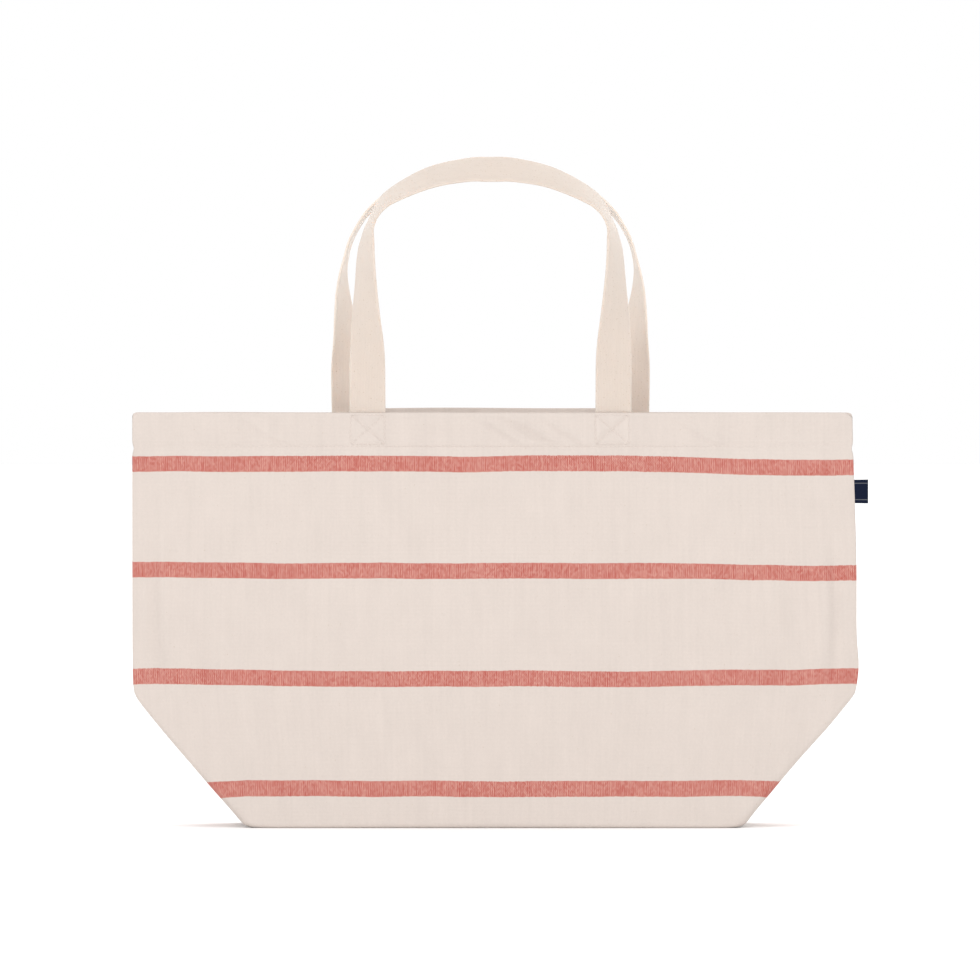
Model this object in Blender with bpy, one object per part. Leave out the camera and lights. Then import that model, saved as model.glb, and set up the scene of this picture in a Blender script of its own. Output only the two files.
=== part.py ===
"""Striped canvas tote bag with two webbing handles.

Metres, +Z up. X runs along the mouth and the front panel faces -Y. The origin is
the middle of the base, on the plane that the bag stands on. The wall is a rounded
rectangle at the base and a pointed lens at the rim, and every layer of cloth is
the same wall moved inwards by an inset.
"""
from math import atan, cos, exp, radians, sin, sqrt

import bmesh
import bpy
from mathutils import Matrix, Vector

# Driving dimensions of the body
BODY_WIDTH = 0.600        # across the two side seams
RIM_HEIGHT = 0.342
BASE_LENGTH = 0.407
BASE_DEPTH = 0.200
CORNER_HEIGHT = 0.110     # where a boxed corner runs out into its side seam
CORNER_ROUNDING = 0.0042
MOUTH_DEPTH = 0.108       # front to back, at the middle of the mouth
BASE_POWER = 20           # superellipse power of the base outline, its corner radius about 19 mm

# Cloth and seams
CLOTH = 0.0012
GAP = 0.0003
HEM_DEPTH = 0.028         # from the rim down to the stitch line
SEAM_ALLOWANCE = 0.010
SEAM_THICKNESS = 0.0018
SEAM_INSET = 0.008        # from the side seam in to its folded allowance
BASE_THICKNESS = 0.0015

# Handles: webbing sewn in behind the rim, twisted outwards on its way up
STRAP_WIDTH = 0.030
STRAP = 0.0022
STRAP_CLEARANCE = 0.001   # from the rim up to the free part of a handle
HANDLE_MIDDLE = -0.0033   # the handles sit this far left of the bag's middle
HINGE_RISE = 0.003        # hinge axis above the rim
HINGE_OUT = 0.001         # hinge axis outside the wall's outer face
# Half of each handle: distance out from its middle, height above the rim
FRONT_ROUTE = ((0.1015, 0.0), (0.1019, 0.0495), (0.1030, 0.0784), (0.1034, 0.1065), (0.1033, 0.1288),
               (0.1021, 0.1421), (0.1000, 0.1536), (0.0920, 0.1690), (0.0796, 0.1802), (0.0500, 0.1941),
               (0.0200, 0.2004), (0.0, 0.2010))
BACK_ROUTE = ((0.1170, 0.0), (0.1179, 0.040), (0.1191, 0.060), (0.1212, 0.0767), (0.1228, 0.0933),
              (0.1230, 0.1074), (0.1215, 0.1215), (0.1163, 0.1415), (0.1075, 0.1581), (0.0990, 0.1680),
              (0.0795, 0.1808), (0.0496, 0.1943), (0.0200, 0.2006), (0.0, 0.2015))
# Turn of the webbing from facing forwards to facing outwards: part of the way to the top, degrees
FRONT_TURN = ((0.0, 0.0), (0.15, 3.0), (0.29, 33.0), (0.40, 52.0), (0.49, 62.0), (0.54, 71.0), (0.575, 83.0),
              (0.60, 83.0), (0.64, 70.0), (0.68, 63.0), (0.80, 53.0), (1.0, 46.5))
BACK_TURN = ((0.0, 0.0), (0.12, 2.0), (0.22, 33.0), (0.28, 50.0), (0.34, 64.0), (0.39, 74.0), (0.44, 86.0),
             (0.60, 86.0), (0.66, 72.0), (0.80, 57.0), (1.0, 52.0))
TURN_SOFTNESS = 0.04      # share of the way over which a change of turn is spread
APEX_DEPTH = 0.036        # of each handle's top from the bag's middle plane

# Stitching
THREAD = 0.0010           # width of a line of stitching
THREAD_RELIEF = 0.0004
BOX_WIDTH = 0.028
BOX_HEIGHT = 0.024

# Label in the right side seam
LABEL_HEIGHT = 0.0195
LABEL_MIDDLE = 0.2763
LABEL_REACH = 0.0092
LABEL_THICKNESS = 0.0012

# Mesh density
END_COLUMNS = 5           # across half of an end wall
FRONT_COLUMNS = 14        # across half of a front wall
WALL_HEIGHTS = (0.0, 0.006, 0.020, 0.045, 0.075, 0.100, 0.118, 0.136, 0.160, 0.220, 0.290, RIM_HEIGHT)
SEAM_HEIGHTS = (0.006, 0.040, 0.080, 0.105, 0.118, 0.131, 0.160, RIM_HEIGHT - HEM_DEPTH - 0.004)
OUTLINE_STEPS = 60        # of the fine outline that the columns are spaced along
HALF_STRAP_STEPS = 24
CURVE_STEPS = 12          # between two points of a handle's route
STRAP_END_COLUMNS = 4

CANVAS = (0.81, 0.73, 0.66, 1.0)
WEBBING = (0.82, 0.72, 0.62, 1.0)
SEWING = (0.78, 0.69, 0.60, 1.0)
NAVY = (0.010, 0.014, 0.040, 1.0)


def clear_scene():
    for old in list(bpy.data.objects):
        bpy.data.objects.remove(old, do_unlink=True)


def make_material(name, colour, roughness):
    material = bpy.data.materials.new(name)
    material.use_nodes = True
    shader = material.node_tree.nodes["Principled BSDF"]
    shader.inputs["Base Color"].default_value = colour
    shader.inputs["Roughness"].default_value = roughness
    shader.inputs["Metallic"].default_value = 0.0
    return material


def add_node(name, data, material):
    """One named sub-part, in the bag's own collection."""
    node = bpy.data.objects.new(name, data)
    data.materials.append(material)
    bpy.data.collections["canvas_tote_bag"].objects.link(node)
    return node


# The wall

def ease(t):
    t = min(max(t, 0.0), 1.0)
    return t * t * (3 - 2 * t)


def wall_measures(z, inset):
    """Half length, half of the flat end and half depth of the wall at a height."""
    spread = (BODY_WIDTH - BASE_LENGTH) / 2
    below = spread * (1 - z / CORNER_HEIGHT)
    missing = (below + sqrt(below ** 2 + CORNER_ROUNDING ** 2)) / 2
    flat = BASE_DEPTH / 2 * missing / spread
    depth = MOUTH_DEPTH / 2 + (BASE_DEPTH - MOUTH_DEPTH) / 2 * (1 - z / RIM_HEIGHT) ** 2
    # A mitre: the inner face stops further from the seam where the two panels meet at a sharp angle
    blunt_mitre = sqrt(1 + (spread / CORNER_HEIGHT) ** 2)
    lens_slope = 2 * MOUTH_DEPTH / BODY_WIDTH
    sharp_mitre = sqrt(1 + lens_slope ** 2) / lens_slope
    mitre = blunt_mitre + (sharp_mitre - blunt_mitre) * exp(-flat / CORNER_ROUNDING)
    length = BODY_WIDTH / 2 - missing - inset * mitre
    return length, flat ** 2 / (flat + max(inset, 0.0)), depth - inset


def wall_depth(x, z, inset):
    """How far the front wall stands from the middle plane."""
    length, flat, depth = wall_measures(z, inset)
    across = min(abs(x) / length, 1.0)
    return GAP / 2 + flat * (1 - across ** BASE_POWER) ** (1 / BASE_POWER) + (depth - flat) * (1 - across ** 2)


def rim_turn(x):
    """How far the lens-shaped rim is turned from the X axis at a place across it."""
    return atan(MOUTH_DEPTH * x / (BODY_WIDTH / 2) ** 2)


def wall_half(z, inset):
    """Points of the front wall, from the left side seam to the right.

    The columns of points follow the crease that runs from each base corner up to
    the side seam: END_COLUMNS of them lie outside it and FRONT_COLUMNS inside.
    """
    length, flat, depth = wall_measures(z, inset)
    diagonal = 0.5 ** (1 / BASE_POWER)
    end = []
    front = []
    for i in range(OUTLINE_STEPS + 1):
        up_end = diagonal * i / OUTLINE_STEPS
        x = length * (1 - up_end ** BASE_POWER) ** (1 / BASE_POWER)
        end.append(Vector((x, -GAP / 2 - flat * up_end - (depth - flat) * (1 - (x / length) ** 2), z)))
        x = length * diagonal * (1 - i / OUTLINE_STEPS)
        front.append(Vector((x, -wall_depth(x, z, inset), z)))
    quarter = even_points(end, END_COLUMNS) + even_points(front, FRONT_COLUMNS)[1:]
    return [Vector((-p.x, p.y, z)) for p in quarter] + quarter[-2::-1]


def even_points(route, parts):
    """Points at equal distances along a route of points."""
    reach = [0.0]
    for a, b in zip(route, route[1:]):
        reach.append(reach[-1] + (b - a).length)
    points = []
    step = 0
    for i in range(parts + 1):
        target = reach[-1] * i / parts
        while step < len(route) - 2 and reach[step + 1] < target:
            step += 1
        share = (target - reach[step]) / (reach[step + 1] - reach[step])
        points.append(route[step].lerp(route[step + 1], share))
    return points


def to_side(points, side):
    """Points of the front wall as they are (side -1), or mirrored to the back (side 1)."""
    return [Vector((p.x, -side * p.y, p.z)) for p in points]


def slab(name, outer, inner, material):
    """A closed sheet between two grids of points."""
    mesh = bmesh.new()
    faces = [[[mesh.verts.new(p) for p in row] for row in grid] for grid in (outer, inner)]
    rows = len(outer)
    columns = len(outer[0])
    for grid in faces:
        for r in range(rows - 1):
            for c in range(columns - 1):
                mesh.faces.new((grid[r][c], grid[r][c + 1], grid[r + 1][c + 1], grid[r + 1][c]))
    border = [(0, c) for c in range(columns)] + [(r, columns - 1) for r in range(1, rows)]
    border += [(rows - 1, c) for c in range(columns - 2, -1, -1)] + [(r, 0) for r in range(rows - 2, 0, -1)]
    for (r1, c1), (r2, c2) in zip(border, border[1:] + border[:1]):
        mesh.faces.new((faces[0][r1][c1], faces[0][r2][c2], faces[1][r2][c2], faces[1][r1][c1]))
    bmesh.ops.recalc_face_normals(mesh, faces=mesh.faces)
    data = bpy.data.meshes.new(name)
    mesh.to_mesh(data)
    mesh.free()
    return add_node(name, data, material)


def wall_sheet(name, side, heights, outer_inset, inner_inset, material):
    """A layer of the front (side -1) or back (side 1) wall, from seam to seam."""
    outer = [to_side(wall_half(z, outer_inset), side) for z in heights]
    inner = [to_side(wall_half(z, inner_inset), side) for z in heights]
    return slab(name, outer, inner, material)


def flat_plate(name, outlines, thickness, material):
    """A flat plate in the XY plane of its own object; outlines after the first are holes in it."""
    curve = bpy.data.curves.new(name, "CURVE")
    curve.dimensions = "2D"
    curve.fill_mode = "BOTH"
    curve.extrude = thickness / 2
    for outline in outlines:
        spline = curve.splines.new("POLY")
        spline.points.add(len(outline) - 1)
        for point, (x, y) in zip(spline.points, outline):
            point.co = (x, y, 0.0, 1.0)
        spline.use_cyclic_u = True
    return add_node(name, curve, material)


# Body

def make_panels(canvas):
    wall_sheet("front_panel", -1, WALL_HEIGHTS, 0.0, CLOTH, canvas)
    wall_sheet("back_panel", 1, WALL_HEIGHTS, 0.0, CLOTH, canvas)


def make_facings(canvas):
    """The part of each panel that is turned in at the rim."""
    heights = (RIM_HEIGHT - HEM_DEPTH, RIM_HEIGHT)
    outer = CLOTH + GAP
    wall_sheet("front_hem_facing", -1, heights, outer, outer + CLOTH, canvas)
    wall_sheet("back_hem_facing", 1, heights, outer, outer + CLOTH, canvas)


def base_outline(top, inset=0.0):
    """Outline of a plate inside the foot of the wall, which leans in by no more than the plate is high."""
    front = wall_half(0.0, CLOTH + GAP + top + inset)
    return [(p.x, p.y) for p in front] + [(p.x, -p.y) for p in reversed(front)]


def make_base(canvas):
    base = flat_plate("base_panel", [base_outline(BASE_THICKNESS)], BASE_THICKNESS, canvas)
    base.location.z = BASE_THICKNESS / 2
    top = BASE_THICKNESS + GAP + CLOTH
    ring = flat_plate("base_seam", [base_outline(top), base_outline(top, SEAM_ALLOWANCE)], CLOTH, canvas)
    ring.location.z = top - CLOTH / 2


def make_side_seam(name, sign, canvas):
    """The folded allowance of a side seam, standing in from the seam inside the bag."""
    edge = [(wall_measures(z, 0.0)[0] - SEAM_INSET, z) for z in SEAM_HEIGHTS]
    outline = [(sign * x, z) for x, z in edge]
    outline += [(sign * (x - SEAM_ALLOWANCE), z) for x, z in reversed(edge)]
    seam = flat_plate(name, [outline], SEAM_THICKNESS, canvas)
    seam.rotation_euler.x = radians(90)


# Handles

def strap_places(route):
    """Middle of the left and right foot of a handle."""
    return HANDLE_MIDDLE - route[0][0], HANDLE_MIDDLE + route[0][0]


def make_strap_end(name, side, middle, webbing):
    """The end of the webbing, sewn flat behind the facing."""
    outer_inset = 2 * (CLOTH + GAP)
    across = [middle + STRAP_WIDTH * (i / STRAP_END_COLUMNS - 0.5) for i in range(STRAP_END_COLUMNS + 1)]
    grids = []
    for inset in (outer_inset, outer_inset + STRAP):
        rows = []
        for z in (RIM_HEIGHT - HEM_DEPTH + THREAD, RIM_HEIGHT):
            rows.append(to_side([Vector((x, -wall_depth(x, z, inset), z)) for x in across], side))
        grids.append(rows)
    slab(name, grids[0], grids[1], webbing)


def through_points(points, steps):
    """A smooth route through points (Catmull-Rom), with even steps."""
    padded = [points[0] * 2 - points[1]] + points + [points[-1] * 2 - points[-2]]
    route = []
    for a, b, c, d in zip(padded, padded[1:], padded[2:], padded[3:]):
        for i in range(CURVE_STEPS):
            t = i / CURVE_STEPS
            route.append((b * 2 + (c - a) * t + (a * 2 - b * 5 + c * 4 - d) * t ** 2
                          + (b * 3 - a - c * 3 + d) * t ** 3) / 2)
    route.append(points[-1])
    return even_points(route, steps)


def turn_at(share, turns):
    """Turn of the webbing, in radians, at a share of the way from its foot to the top."""
    total = 0.0
    offsets = (-1.0, -0.5, 0.0, 0.5, 1.0)
    for offset in offsets:
        place = abs(share + offset * TURN_SOFTNESS)
        place = min(place, 2 - place)
        for (start, low), (stop, high) in zip(turns, turns[1:]):
            if start <= place <= stop:
                total += radians(low + (high - low) * (place - start) / (stop - start))
                break
    return total / len(offsets)


def handle_route(route):
    """Middle line of a handle on the front side, from its left foot over the top to its right foot."""
    foot_z = RIM_HEIGHT + STRAP_CLEARANCE
    foot_inset = 2 * (CLOTH + GAP) + STRAP / 2
    foot_depth = wall_depth(route[0][0], RIM_HEIGHT, foot_inset)
    top = route[-1][1]
    left = []
    right = []
    for out, rise in route:
        depth = foot_depth + (APEX_DEPTH - foot_depth) * ease(rise / top)
        height = foot_z + rise * (RIM_HEIGHT + top - foot_z) / top
        left.append(Vector((HANDLE_MIDDLE - out, -depth, height)))
        right.append(Vector((HANDLE_MIDDLE + out, -depth, height)))
    return through_points(left + right[-2::-1], 2 * HALF_STRAP_STEPS)


def make_handle(name, side, route, turns, webbing):
    """A flat strap swept along its middle line, turning as it goes."""
    middle = handle_route(route)
    last = len(middle) - 1
    grids = ([], [])
    for i, point in enumerate(middle):
        along = (middle[min(i + 1, last)] - middle[max(i - 1, 0)]).normalized()
        if i in (0, last):
            along = Vector((0.0, 0.0, 1.0 if i == 0 else -1.0))
        front = Vector((0.0, -1.0, 0.0))
        front = (front - along * front.dot(along)).normalized()
        outwards = front.cross(along)
        turn = turn_at(1 - abs(i / last * 2 - 1), turns)
        turn += abs(rim_turn(point.x - HANDLE_MIDDLE)) * cos(turn)
        face = front * cos(turn) + outwards * sin(turn)
        across = along.cross(face) * (STRAP_WIDTH / 2)
        for grid, offset in zip(grids, (face * STRAP / 2, -face * STRAP / 2)):
            grid.append(to_side([point + offset - across, point + offset + across], side))
    handle = slab(name, grids[0], grids[1], webbing)
    hinge = Vector((HANDLE_MIDDLE, *hinge_place(side, route)))
    handle.data.transform(Matrix.Translation(-hinge))
    handle.location = hinge


def hinge_place(side, route):
    """Y and Z of the axis about which a handle falls outwards over the rim."""
    return side * (wall_depth(route[0][0], RIM_HEIGHT, 0.0) + HINGE_OUT), RIM_HEIGHT + HINGE_RISE


# Stitching and label

def make_box_stitch(name, side, middle, sewing):
    """A stitched box with a cross in it: a plate with four triangular holes."""
    w = BOX_WIDTH / 2
    h = BOX_HEIGHT / 2
    line = THREAD / 2
    slant = THREAD * 0.75     # half of a slanting line, measured along a side of the box
    outer = [(-w - line, -h - line), (w + line, -h - line), (w + line, h + line), (-w - line, h + line)]
    x = w - line
    y = h - line
    holes = [
        [(-x + slant, -y), (x - slant, -y), (0.0, -slant)],
        [(-x + slant, y), (x - slant, y), (0.0, slant)],
        [(-x, -y + slant), (-x, y - slant), (-slant, 0.0)],
        [(x, -y + slant), (x, y - slant), (slant, 0.0)],
    ]
    stitch = flat_plate(name, [outer] + holes, THREAD_RELIEF, sewing)
    stitch.rotation_euler = (radians(90), 0.0, -side * rim_turn(middle))
    depth = wall_depth(middle, RIM_HEIGHT, 0.0) + GAP + THREAD_RELIEF
    stitch.location = (middle, side * depth, RIM_HEIGHT - HEM_DEPTH / 2)


def make_hem_stitch(name, side, sewing):
    z = RIM_HEIGHT - HEM_DEPTH
    heights = (z - THREAD / 2, z + THREAD / 2)
    wall_sheet(name, side, heights, -GAP - THREAD_RELIEF, -GAP, sewing)


def make_label(navy):
    """A folded woven tab; its origin is on the side seam, where it bends."""
    bpy.ops.mesh.primitive_cube_add(size=1.0)
    label = bpy.context.object
    label.name = "side_label"
    label.data.name = "side_label"
    start = 2 * GAP
    for vertex in label.data.vertices:
        vertex.co.x = start + (vertex.co.x + 0.5) * LABEL_REACH
        vertex.co.y *= LABEL_THICKNESS
        vertex.co.z *= LABEL_HEIGHT
    label.location = (BODY_WIDTH / 2, 0.0, LABEL_MIDDLE)
    label.data.materials.append(navy)
    for owner in list(label.users_collection):
        owner.objects.unlink(label)
    bpy.data.collections["canvas_tote_bag"].objects.link(label)


def build():
    clear_scene()
    collection = bpy.data.collections.new("canvas_tote_bag")
    bpy.context.scene.collection.children.link(collection)
    canvas = make_material("canvas", CANVAS, 0.85)
    webbing = make_material("webbing", WEBBING, 0.85)
    sewing = make_material("sewing_thread", SEWING, 0.75)
    navy = make_material("navy_label", NAVY, 0.80)

    make_panels(canvas)
    make_facings(canvas)
    make_base(canvas)
    make_side_seam("left_side_seam", -1, canvas)
    make_side_seam("right_side_seam", 1, canvas)
    handles = (("front", -1, FRONT_ROUTE, FRONT_TURN), ("back", 1, BACK_ROUTE, BACK_TURN))
    for word, side, route, turns in handles:
        for place, middle in zip(("left", "right"), strap_places(route)):
            make_strap_end(f"{word}_{place}_strap_end", side, middle, webbing)
            make_box_stitch(f"{word}_{place}_box_stitch", side, middle, sewing)
        make_hem_stitch(f"{word}_hem_stitch", side, sewing)
        make_handle(f"{word}_handle", side, route, turns, webbing)
    make_label(navy)


build()
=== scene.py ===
"""Striped canvas tote bag: its visible cloth, webbing, stitching and tab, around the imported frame.

The wall of the bag is the same function as in the CAD model: a rounded rectangle
at the base and a pointed lens at the rim. Every layer of cloth is that wall moved
inwards by an inset, and every layer follows the same soft folds. Cloth coordinates
are metres across (from the middle of a panel) and metres up.
"""

from math import atan, cos, pi, radians, sin, sqrt

import bpy
import numpy as np
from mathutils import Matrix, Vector, noise


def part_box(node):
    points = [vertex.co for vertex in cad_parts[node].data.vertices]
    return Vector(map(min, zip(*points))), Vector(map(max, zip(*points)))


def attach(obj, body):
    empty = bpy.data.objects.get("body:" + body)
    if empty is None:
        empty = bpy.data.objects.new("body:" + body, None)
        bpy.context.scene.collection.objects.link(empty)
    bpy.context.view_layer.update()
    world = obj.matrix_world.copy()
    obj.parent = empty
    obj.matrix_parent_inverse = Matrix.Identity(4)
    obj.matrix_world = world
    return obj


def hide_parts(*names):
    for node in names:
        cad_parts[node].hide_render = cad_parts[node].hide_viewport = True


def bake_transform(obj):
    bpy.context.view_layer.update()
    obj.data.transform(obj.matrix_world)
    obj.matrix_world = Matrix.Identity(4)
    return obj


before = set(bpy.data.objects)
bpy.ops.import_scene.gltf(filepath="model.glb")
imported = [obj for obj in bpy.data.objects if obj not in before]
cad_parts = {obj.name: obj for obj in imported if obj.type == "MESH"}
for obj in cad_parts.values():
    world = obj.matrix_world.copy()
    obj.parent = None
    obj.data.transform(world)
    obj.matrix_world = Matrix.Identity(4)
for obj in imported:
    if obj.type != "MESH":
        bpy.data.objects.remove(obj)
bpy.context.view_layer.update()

# Body, as in the CAD model
PANEL_LOW, PANEL_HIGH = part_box("front_panel")
BODY_WIDTH = PANEL_HIGH.x - PANEL_LOW.x
RIM = PANEL_HIGH.z
BASE_DEPTH = -2 * PANEL_LOW.y
BASE_LENGTH = 0.407
CORNER_HEIGHT = 0.110
CORNER_ROUNDING = 0.0042      # softness of the bend where a boxed corner begins
MOUTH_DEPTH = 0.108
BASE_POWER = 20               # of the superellipse around the base
CLOTH = 0.0012
GAP = 0.0003
HEM = 0.028
HEM_LINE = RIM - HEM
HALF_CLOTH = 0.306            # cloth across half a panel, from its middle to a side seam

# Soft shape of the cloth
EDGE_RADIUS = 0.005           # of the rolled edge around the base
LIP = 0.004                   # cloth turned under that edge
BACK_RISE = 0.0034            # how much higher the back rim stands between its handle feet
BACK_FLARE = 0.0058           # how far it leans out there, over FLARE_DEPTH below the rim
FLARE_DEPTH = 0.011
RIGHT_LEAN = 0.0035           # how far the right seam leans in at the rim
HEM_PINCH = 0.0012            # how far the seams are drawn in where the hem ends
LEFT_BULGE = 0.0025           # how far the left boxed corner swells out
RIGHT_DIP = 0.0024            # how far the right one falls in
RIGHT_PEAK = 0.0020           # how far the right seam stands out just above it
LEFT_CORNER = 0.0028          # roundness of the ends of the front rim; the back has them swapped
RIGHT_CORNER = 0.0085
DRAG = 0.0009                 # how far the pull of a handle raises the cloth below it
HEM_STEP = 0.0011             # how far the hem stands out, for its second layer of cloth
STRAP_STEP = 0.0005           # how much further it stands out over a sewn-in handle
PUCKER = 0.00035              # along the hem's stitch line
SEAM_SINK = 0.0009            # how far the cloth sinks in at a side seam
# Soft rolls of a whole panel: height, rolls to a metre across and up, and seed
ROLLS = ((0.0044, 5.2, 4.6, 0), (0.0019, 15, 9, 5), (0.00055, 48, 21, 9))
# Upright folds beside each side seam: place across, width, height, low end, high end
SEAM_FOLDS = ((0.284, 0.0050, -0.0024, 0.105, 0.250),
              (0.272, 0.0070, 0.0020, 0.100, 0.270),
              (0.250, 0.0130, -0.0014, 0.090, 0.230))
# Slanting wrinkles in the hem: place across, width, height
HEM_WRINKLES = ((0.026, 0.0036, 0.0017), (0.041, 0.0030, -0.0013), (0.055, 0.0040, 0.0020),
                (0.078, 0.0036, 0.0015), (-0.170, 0.0055, 0.0011), (0.190, 0.0045, 0.0013))
HEM_SLANT = 1.6

# Mesh density
OUTLINE_STEPS = 90            # of the fine outline that the columns are spaced along
COLUMN_STEP = 0.0027
ROW_STEP = 0.0030
FINE_STEP = 0.0013            # steps in the hem and where the handles are sewn on
FOLD_STEPS = 6
FACING_ROWS = 13
BASE_COLUMNS = 120
BASE_ROWS = 56
STRAP_STEPS = 230
FOOT_STEPS = 9
CURVE_STEPS = 12              # between two points of a handle's route
SEAM_ROWS = 110
OVERLOCK_STITCHES = 90

# Handles, as in the CAD model
STRAP_WIDTH = 0.030
STRAP = 0.0022
STRAP_CLEARANCE = 0.001
STRAP_INSET = 2 * (CLOTH + GAP) + STRAP / 2
HANDLE_MIDDLE = -0.0033
APEX_DEPTH = 0.036            # from the middle plane to the top of a handle
TURN_SOFTNESS = 0.04          # share of the way over which a turn is averaged
# Middle line of half a handle, from its foot to its top: distance out from HANDLE_MIDDLE, rise
FRONT_ROUTE = ((0.1015, 0.0), (0.1019, 0.0495), (0.1030, 0.0784), (0.1034, 0.1065), (0.1033, 0.1288),
               (0.1021, 0.1421), (0.1000, 0.1536), (0.0920, 0.1690), (0.0796, 0.1802), (0.0500, 0.1941),
               (0.0200, 0.2004), (0.0, 0.2010))
BACK_ROUTE = ((0.1170, 0.0), (0.1179, 0.040), (0.1191, 0.060), (0.1212, 0.0767), (0.1228, 0.0933),
              (0.1230, 0.1074), (0.1215, 0.1215), (0.1163, 0.1415), (0.1075, 0.1581), (0.0990, 0.1680),
              (0.0795, 0.1808), (0.0496, 0.1943), (0.0200, 0.2006), (0.0, 0.2015))
# How the webbing turns on its way up: share of the way from foot to top, degrees outwards
FRONT_TURN = ((0.0, 0.0), (0.15, 3.0), (0.29, 33.0), (0.40, 52.0), (0.49, 62.0), (0.54, 71.0), (0.575, 83.0),
              (0.60, 83.0), (0.64, 70.0), (0.68, 63.0), (0.80, 53.0), (1.0, 46.5))
BACK_TURN = ((0.0, 0.0), (0.12, 2.0), (0.22, 33.0), (0.28, 50.0), (0.34, 64.0), (0.39, 74.0), (0.44, 86.0),
             (0.60, 86.0), (0.66, 72.0), (0.80, 57.0), (1.0, 52.0))
HANDLES = {-1: (FRONT_ROUTE, FRONT_TURN), 1: (BACK_ROUTE, BACK_TURN)}

# Stitching
STITCH_PITCH = 0.0036
STITCH_ENDS = (0.07, 0.93)    # where a stitch dips into the cloth, as shares of its pitch
THREAD_RADIUS = 0.00038
BOX_WIDTH = 0.028
BOX_HEIGHT = 0.024
HEM_GROOVE = 0.00045          # how far each line of stitching pulls the cloth in
BOX_GROOVE = 0.00030
LOOSE_CROSS = 0.0006          # under the two arms of a box's cross
TIGHT_CROSS = 0.0011

# Seam allowances inside the bag
SEAM_INSET = 0.0075           # from the side seam in to its allowance
SEAM_ALLOWANCE = 0.0095       # how far the allowance stands in
SEAM_THICKNESS = 0.0018
SEAM_LOW = 0.008
BASE_SEAM_INSET = 0.0085
BASE_SEAM_ALLOWANCE = 0.009
BASE_SEAM_LEVEL = 0.0041
OVERLOCK_INSET = 0.0165       # from the side seam in to the edge of its allowance
OVERLOCK_WIDTH = 0.0042
OVERLOCK_RADIUS = 0.00028

# Folded tab
TAB_ROOT = 0.0046             # length of ribbon hidden in the seam
TAB_GAP = 0.00055             # half of the distance between its two layers
TAB_THICKNESS = 0.00045
TAB_LINE = 0.0030             # from an edge in to the pale woven line

# Woven stripes: middle height and width
STRIPES = (0.0318, 0.1224, 0.2113, 0.2998)
STRIPE_WIDTH = 0.0130
WARP_PITCH = 0.00095
WEFT_PITCH = 0.00110
TICK_PITCH = 0.00092          # of the upright ticks in the stripes
TICK_LENGTH = 0.0019

# Colours
NATURAL = (0.594, 0.524, 0.479)
WEBBING = (0.632, 0.555, 0.494)
# Webbing of the back handle: painted light, paler than WEBBING so that it looks as bright as the front
# handle, though the front of the bag keeps light off it
BACK_WEBBING_PAINTED_LIGHT = (0.735, 0.655, 0.585)
SEWING = (0.655, 0.578, 0.530)
DEEP_RED = (0.404, 0.089, 0.071)
PALE_RED = (0.577, 0.306, 0.256)
HUSK = (0.40, 0.30, 0.20)
DARK_HUSK = (0.36, 0.25, 0.15)
DEEP_NAVY = (0.004, 0.007, 0.021)
NAVY = (0.009, 0.014, 0.034)
TAB_THREAD = (0.40, 0.40, 0.40)

# Studio
FLOOR_HALF = 40.0
FLOOR_TONE = 0.97
# Broad suns: name, turn in degrees, strength, angle in degrees
LIGHTS = (("key", (66, 0, -28), 0.80, 45),
          ("fill", (70, 0, 38), 0.50, 60),
          ("back", (-62, 0, -12), 1.3, 60))
CAMERA_DISTANCE = 16.0
CAMERA_ELEVATION = 0.5
VIEW_WIDTH = 0.8115
VIEW_MIDDLE = (-0.0037, 0.0, 0.2775)
SENSOR = 36.0


def ease(t):
    """0 below 0, 1 above 1, and a soft step between."""
    t = np.clip(t, 0.0, 1.0)
    return float(t * t * (3 - 2 * t))


def hump(distance, width):
    """A bell curve: 1 at no distance, falling off over a width."""
    return float(np.exp(-(distance / width) ** 2))


# The wall

def strap_places(side):
    """Middle of the left and right foot of a handle."""
    out = HANDLES[side][0][0][0]
    return HANDLE_MIDDLE - out, HANDLE_MIDDLE + out


def wall_measures(z, inset):
    """Half length, half of the flat end and half depth of the wall at a height."""
    spread = (BODY_WIDTH - BASE_LENGTH) / 2
    below = spread * (1 - z / CORNER_HEIGHT)
    missing = (below + sqrt(below ** 2 + CORNER_ROUNDING ** 2)) / 2
    flat = BASE_DEPTH / 2 * missing / spread
    depth = MOUTH_DEPTH / 2 + (BASE_DEPTH - MOUTH_DEPTH) / 2 * (1 - z / RIM) ** 2
    blunt_mitre = sqrt(1 + (spread / CORNER_HEIGHT) ** 2)
    lens_slope = 2 * MOUTH_DEPTH / BODY_WIDTH
    sharp_mitre = sqrt(1 + lens_slope ** 2) / lens_slope
    mitre = blunt_mitre + (sharp_mitre - blunt_mitre) * np.exp(-flat / CORNER_ROUNDING)
    length = BODY_WIDTH / 2 - missing + CLOTH / 4 - max(inset - CLOTH / 2, 0.0) * mitre
    return length, flat ** 2 / (flat + max(inset, 0.0)), depth - inset


def wall_outline(z, inset):
    """Distance from the left seam, x and y along the front wall at a height."""
    length, flat, depth = wall_measures(z, inset)
    diagonal = 0.5 ** (1 / BASE_POWER)
    up = diagonal * np.linspace(0, 1, OUTLINE_STEPS)
    x_end = length * (1 - up ** BASE_POWER) ** (1 / BASE_POWER)
    y_end = flat * up
    along = diagonal * np.linspace(1, 0, OUTLINE_STEPS)[1:]
    x_front = length * along
    y_front = flat * (1 - along ** BASE_POWER) ** (1 / BASE_POWER)
    x = np.concatenate((x_end, x_front))
    y = np.concatenate((y_end, y_front)) + (depth - flat) * (1 - (x / length) ** 2) + GAP / 2
    x = np.concatenate((-x, x[-2::-1]))
    y = -np.concatenate((y, y[-2::-1]))
    reach = np.concatenate(((0,), np.cumsum(np.hypot(np.diff(x), np.diff(y)))))
    return reach, x, y


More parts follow.
